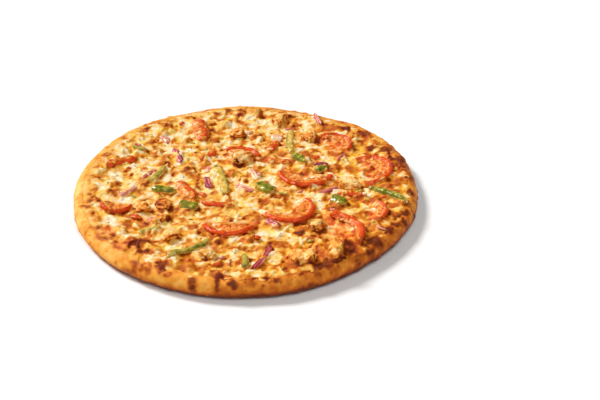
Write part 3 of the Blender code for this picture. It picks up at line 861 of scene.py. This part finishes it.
def height_at(heights, x, y):
    i, j = (int(round((value - AXIS[0]) / GRID_STEP)) for value in (x, y))
    return heights[i, j]


def make_bits(name, rows, ground, height, bend, slot, material, values):
    """One mesh of small pieces, each a bent, tapered sliver sunk a little into the cheese."""
    points, faces = [], []
    for number, (x, y, length, width, heading) in enumerate(rows):
        turn = math.radians(heading)
        middle = height_at(ground, MM * x, MM * y)
        faces.append(tube_faces(BIT_ROWS + 1, BIT_SIDES) + len(points))
        for i in range(BIT_ROWS + 1):
            s = i / BIT_ROWS * 2 - 1
            girth = math.sqrt(max(0.0, 1 - abs(s) ** 3)) * (1 + 0.15 * math.sin(5 * s + number))
            u, v = s * length / 2, bend * length * (1 - s * s) * side_of(number)
            for j in range(BIT_SIDES):
                a = 2 * math.pi * j / BIT_SIDES
                dx, dy = turned(u, v + girth * width / 2 * math.cos(a), -turn)
                z = middle + MM * girth * height * (0.28 + 0.5 * math.sin(a))
                points.append((MM * (x + dx), MM * (y + dy), z))
    bits = mesh_object(name, points, np.vstack(faces))
    roughen(bits, (4, 0.35), (1.6, 0.15), 700 + len(rows))
    uneven = 0.35 * noise_at(points_of(bits), 3, 720)
    paint(bits, **{key: np.clip(value + uneven, 0, 1) for key, value in values.items()})
    settle_piece(bits, slot, material)


def make_herbs(ground, material):
    """Specks of dried herb and pepper over the cheese."""
    random = np.random.default_rng(81)
    points, faces = [], []
    for _ in range(HERB_SPECKS):
        x, y = random_place(random, HERBS_REACH)
        size, turn = random.uniform(0.35, 0.9) * MM, random.uniform(0, math.pi)
        z = height_at(ground, x, y) + 0.05 * MM
        start = len(points)
        for i in range(6):
            a = turn + i * math.pi / 3
            stretch = 1.0 if i % 3 else 1.7
            edge = random.uniform(0.8, 1.1) * size * stretch
            rise = random.uniform(0, 0.25) * MM
            points.append((x + edge * math.cos(a), y + edge * math.sin(a), z + rise))
            j = (i + 1) % 6
            faces.append((start + i, start + j, start + 6))
            faces.append((start + j, start + i, start + 7))
        points.append((x, y, z + 0.35 * MM))
        points.append((x, y, z - 0.2 * MM))
    herbs = mesh_object("herb_specks", points, faces)
    paint(herbs, shade=np.repeat(random.uniform(0, 1, HERB_SPECKS), 8))
    settle_piece(herbs, "green_pepper", material)


# Materials

def linear(colour):
    """A screen colour, 0 to 255, as the amounts of light that it stands for, and opaque."""
    shares = [channel / 255 for channel in colour]
    return (*(s / 12.92 if s <= 0.04045 else ((s + 0.055) / 1.055) ** 2.4 for s in shares), 1)


class Look:
    """A node material: its shader, and the nodes that feed it."""

    def __init__(self, name):
        self.material = bpy.data.materials.new(name)
        self.material.use_nodes = True
        self.sockets = self.material.node_tree.nodes["Principled BSDF"].inputs

    def connect(self, value, socket):
        if isinstance(value, bpy.types.NodeSocket):
            self.material.node_tree.links.new(value, socket)
        else:
            socket.default_value = value

    def add(self, kind, output, inputs, **settings):
        """The output of a new node; inputs are numbers, colours or other outputs, by socket."""
        node = self.material.node_tree.nodes.new(kind)
        for key, value in settings.items():
            setattr(node, key, value)
        for key, value in inputs.items():
            self.connect(value, node.inputs[key])
        return node.outputs[output]

    def painted(self, name):
        return self.add("ShaderNodeAttribute", "Fac", {}, attribute_name=name)

    def noise(self, size, detail=3.0, stretch=None):
        """Noise whose bumps are about size millimetres apart, the same from every side."""
        place = self.add("ShaderNodeTexCoord", "Object", {})
        if stretch:
            place = self.add("ShaderNodeMapping", "Vector", {"Vector": place, "Scale": stretch})
        inputs = {"Vector": place, "Scale": 1 / (size * MM), "Detail": detail, "Roughness": 0.55}
        return self.add("ShaderNodeTexNoise", "Fac", inputs)

    def maths(self, operation, *values, clamp=False):
        inputs = dict(enumerate(values))
        return self.add("ShaderNodeMath", "Value", inputs, operation=operation, use_clamp=clamp)

    def times(self, first, second):
        return self.maths("MULTIPLY", first, second)

    def shifted(self, value, size, amount, stretch=None):
        """value moved by noise of that size, by up to half of amount each way."""
        centred = self.maths("SUBTRACT", self.noise(size, stretch=stretch), 0.5)
        return self.maths("MULTIPLY_ADD", centred, amount, value, clamp=True)

    def ranged(self, value, low, high, start=0.0, end=1.0):
        """A value from start to end stretched to run from low to high."""
        inputs = {"Value": value, "From Min": start, "From Max": end, "To Min": low, "To Max": high}
        return self.add("ShaderNodeMapRange", "Result", inputs)

    def mixed(self, share, first, second):
        return self.add("ShaderNodeMix", 2, {0: share, 6: first, 7: second}, data_type="RGBA")

    def ramp(self, value, *stops):
        """A colour for each value; stops are (place, colour as red, green and blue in sRGB, 0 to 255)."""
        output = self.add("ShaderNodeValToRGB", "Color", {"Fac": value})
        elements = output.node.color_ramp.elements
        while len(elements) < len(stops):
            elements.new(0.5)
        for element, (place, colour) in zip(elements, stops):
            element.position = place
            element.color = linear(colour)
        return output

    def charred(self, colour, dark, share):
        """The colour with a darker one over its scorched patches."""
        return self.mixed(self.times(self.painted("char"), share), colour, linear(dark))

    def relief(self, size, depth, **settings):
        """A bump from noise of that size, with its size and depth in millimetres."""
        inputs = {"Height": self.noise(size, **settings), "Strength": 1.0, "Distance": depth * MM}
        self.connect(self.add("ShaderNodeBump", "Normal", inputs), self.sockets["Normal"])

    def finish(self, colour, roughness, depth=None, gloss=None):
        """Sets the shader: depth is how far light goes in, and gloss how strong the fat's warm shine is."""
        self.connect(colour, self.sockets["Base Color"])
        self.connect(roughness, self.sockets["Roughness"])
        if depth:
            weight, radius, scale = depth
            self.sockets["Subsurface Weight"].default_value = weight
            self.sockets["Subsurface Radius"].default_value = radius
            self.sockets["Subsurface Scale"].default_value = scale * MM
        if gloss:
            self.sockets["Specular IOR Level"].default_value = gloss
            self.sockets["Specular Tint"].default_value = (1.0, 0.82, 0.58, 1)
        return self.material


def cheese_material():
    look = Look("melted_cheese")
    bake = look.shifted(look.painted("bake"), 3.0, 0.26)
    bake = look.shifted(bake, 0.9, 0.07)
    colour = look.ramp(bake, *BAKED_CHEESE)
    colour = look.mixed(look.times(look.painted("gold"), 0.85), colour, look.ramp(bake, *OILY_CHEESE))
    pulp = look.times(look.painted("pulp"), look.ranged(look.noise(3.2), 0.55, 1.35))
    colour = look.mixed(pulp, colour, look.ramp(bake, *COVERED_TOMATO))
    dough = look.shifted(look.painted("dough"), 5.0, 0.22)
    colour = look.mixed(look.painted("edge"), colour, look.ramp(dough, *BAKED_DOUGH))
    gloss = look.ranged(look.noise(5.0), 0.14, 0.55, 0.4, 0.6)
    dull = look.maths("MAXIMUM", look.times(look.painted("edge"), 0.62), gloss)
    dull = look.maths("MAXIMUM", look.ranged(bake, 0.2, 0.75, 0.5, 0.95), dull)
    look.relief(1.1, 0.8, detail=4)
    return look.finish(colour, dull, (0.35, (1.0, 0.42, 0.15), 3.0), 0.28)


def crust_material():
    look = Look("baked_crust")
    bake = look.shifted(look.painted("bake"), 5.0, 0.22)
    colour = look.ramp(look.shifted(bake, 1.2, 0.12), *BAKED_DOUGH)
    dust = look.times(look.painted("flour"), look.ranged(look.noise(9.0), -0.3, 0.9))
    colour = look.mixed(look.maths("MAXIMUM", dust, 0.0), colour, linear((248, 232, 204)))
    look.relief(1.3, 0.3, detail=5)
    dull = look.ranged(look.noise(2.0), 0.48, 0.72)
    return look.finish(colour, dull, (0.25, (1.0, 0.45, 0.18), 2.5), 0.25)


def tomato_material():
    look = Look("tomato")
    flesh = look.ramp(look.noise(1.8), (0.3, (232, 108, 32)), (0.5, (214, 74, 16)), (0.7, (186, 42, 8)))
    pulp = look.ramp(look.noise(2.6), (0.34, (244, 180, 90)), (0.5, (230, 124, 40)), (0.66, (196, 58, 14)))
    outer = look.ramp(look.noise(3.0), (0.3, (238, 94, 20)), (0.7, (208, 50, 8)))
    colour = look.mixed(look.painted("skin"), look.mixed(look.painted("pulp"), flesh, pulp), outer)
    colour = look.charred(colour, (120, 34, 14), 0.45)
    look.relief(0.9, 0.22)
    return look.finish(colour, look.ranged(look.noise(2.0), 0.16, 0.4), (0.08, (1.0, 0.4, 0.2), 1.5), 0.35)


def pepper_material():
    look = Look("green_pepper")
    skin = look.ramp(look.noise(4.0), (0.32, (70, 84, 6)), (0.5, (122, 124, 16)), (0.68, (188, 172, 48)))
    flesh = look.ramp(look.noise(3.0), (0.3, (198, 154, 46)), (0.5, (230, 186, 84)), (0.7, (250, 222, 136)))
    colour = look.charred(look.mixed(look.painted("flesh"), skin, flesh), (52, 44, 14), 0.6)
    look.relief(1.4, 0.15)
    return look.finish(colour, look.ranged(look.noise(3.0), 0.12, 0.34), (0.08, (0.5, 1.0, 0.2), 1.0))


def onion_material():
    look = Look("red_onion")
    skin = look.shifted(look.painted("skin"), 1.6, 0.28, stretch=(1, 1, 3))
    colour = look.charred(look.ramp(skin, *RED_ONION), (120, 62, 26), 0.55)
    look.relief(1.2, 0.12)
    return look.finish(colour, look.ranged(look.noise(2.0), 0.15, 0.38), (0.2, (1.0, 0.7, 0.7), 1.5))


def chicken_material():
    look = Look("chicken")
    colour = look.ramp(look.shifted(look.painted("bake"), 2.2, 0.6), *BAKED_CHICKEN)
    look.relief(1.0, 0.4, stretch=(1, 2.5, 1))
    return look.finish(colour, look.ranged(look.noise(2.0), 0.25, 0.6), (0.3, (1.0, 0.42, 0.15), 2.5), 0.28)


def herb_material():
    look = Look("dried_herb")
    colour = look.ramp(look.painted("shade"), (0.0, (38, 34, 14)), (0.5, (74, 70, 24)), (1.0, (96, 52, 22)))
    return look.finish(colour, look.ranged(look.noise(0.5), 0.6, 0.9))


# The studio

def make_floor():
    """A plain, nearly white table that reaches past every view."""
    corners = [(x * FLOOR_HALF, y * FLOOR_HALF, 0) for x, y in ((-1, -1), (1, -1), (1, 1), (-1, 1))]
    floor = mesh_object("floor", corners, [(0, 1, 2, 3)])
    floor.location.z = -0.4 * MM
    look = Look("white_table")
    look.sockets["Specular IOR Level"].default_value = 0.0
    dull = look.ranged(look.noise(400.0), 0.9, 0.94)
    floor.data.materials.append(look.finish((0.93, 0.93, 0.93, 1), dull))


def add_lamp(name, kind, place, colour, **settings):
    """A lamp that shines from that place towards the middle of the pizza."""
    light = bpy.data.lights.new(name, kind)
    light.color = colour
    for key, value in settings.items():
        setattr(light, key, value)
    lamp = add_object(name, light)
    lamp.location = place
    lamp.rotation_euler = (-Vector(place)).to_track_quat("-Z", "Y").to_euler()


def make_lights():
    """A soft key from behind on the left, a wide fill from the front, and an even white surround."""
    add_lamp("key", "SUN", KEY_PLACE, (1.0, 0.98, 0.95), energy=3.6, angle=math.radians(KEY_SPREAD))
    add_lamp("fill", "AREA", (0.5, -1.6, 2.4), (1.0, 0.99, 0.97), energy=40, shape="DISK", size=2.0)
    world = bpy.data.worlds.new("studio")
    world.use_nodes = True
    surround = world.node_tree.nodes["Background"].inputs
    surround["Color"].default_value = (1, 1, 1, 1)
    surround["Strength"].default_value = 0.13
    bpy.context.scene.world = world
    bpy.context.scene.view_settings.view_transform = "Standard"


def make_camera():
    """The camera looks at the origin, turned a little for the photo's framing."""
    elevation = math.radians(CAMERA_ELEVATION)
    back, right = Vector((0, -math.cos(elevation), math.sin(elevation))), Vector((1, 0, 0))
    basis = Matrix((right, back.cross(right), back)).transposed()
    for turn, axis in ((CAMERA_YAW, "Y"), (CAMERA_PITCH, "X"), (-CAMERA_ROLL, "Z")):
        basis = basis @ Matrix.Rotation(math.radians(turn), 3, axis)
    data = bpy.data.cameras.new("camera")
    data.lens = CAMERA_LENS_MM
    data.sensor_width = SENSOR_WIDTH_MM
    camera = add_object("camera", data)
    camera.matrix_world = Matrix.Translation(back * CAMERA_DISTANCE) @ basis.to_4x4()
    bpy.context.scene.camera = camera


def main():
    tomato, pepper, onion = tomato_material(), pepper_material(), onion_material()
    crust = make_crust()
    settle_piece(crust, "baked_crust", crust_material(), "crust")
    firm = make_toppings("tomato_slice", "tomato", tomato, finish_slice)
    firm += make_toppings("pepper", "green_pepper", pepper, finish_pepper)
    firm += make_toppings("onion", "red_onion", onion, finish_onion)
    soft = make_toppings("tomato_wedge", "tomato", tomato, finish_wedge)
    soft += make_toppings("chicken", "chicken", chicken_material(), finish_chicken)
    cheese = make_cheese(crust, firm + soft, soft)
    settle_piece(cheese, "melted_cheese", cheese_material(), "cheese")
    ground = tops_of([cheese], 0.0)
    for kind, rows, height, bend, slot, material, values in (
        ("tomato", TOMATO_BITS_MM, 2.4, 0.1, "tomato", tomato, {"skin": 0.5, "pulp": 0.4, "char": 0.2}),
        ("pepper", PEPPER_BITS_MM, 2.0, 0.08, "green_pepper", pepper, {"flesh": 0.5, "char": 0.1}),
        ("onion", ONION_BITS_MM, 2.0, 0.12, "red_onion", onion, {"skin": 0.4, "char": 0.1}),
    ):
        make_bits(kind + "_bits", rows, ground, height, bend, slot, material, values)
    make_herbs(ground, herb_material())
    make_floor()
    make_lights()
    make_camera()


main()
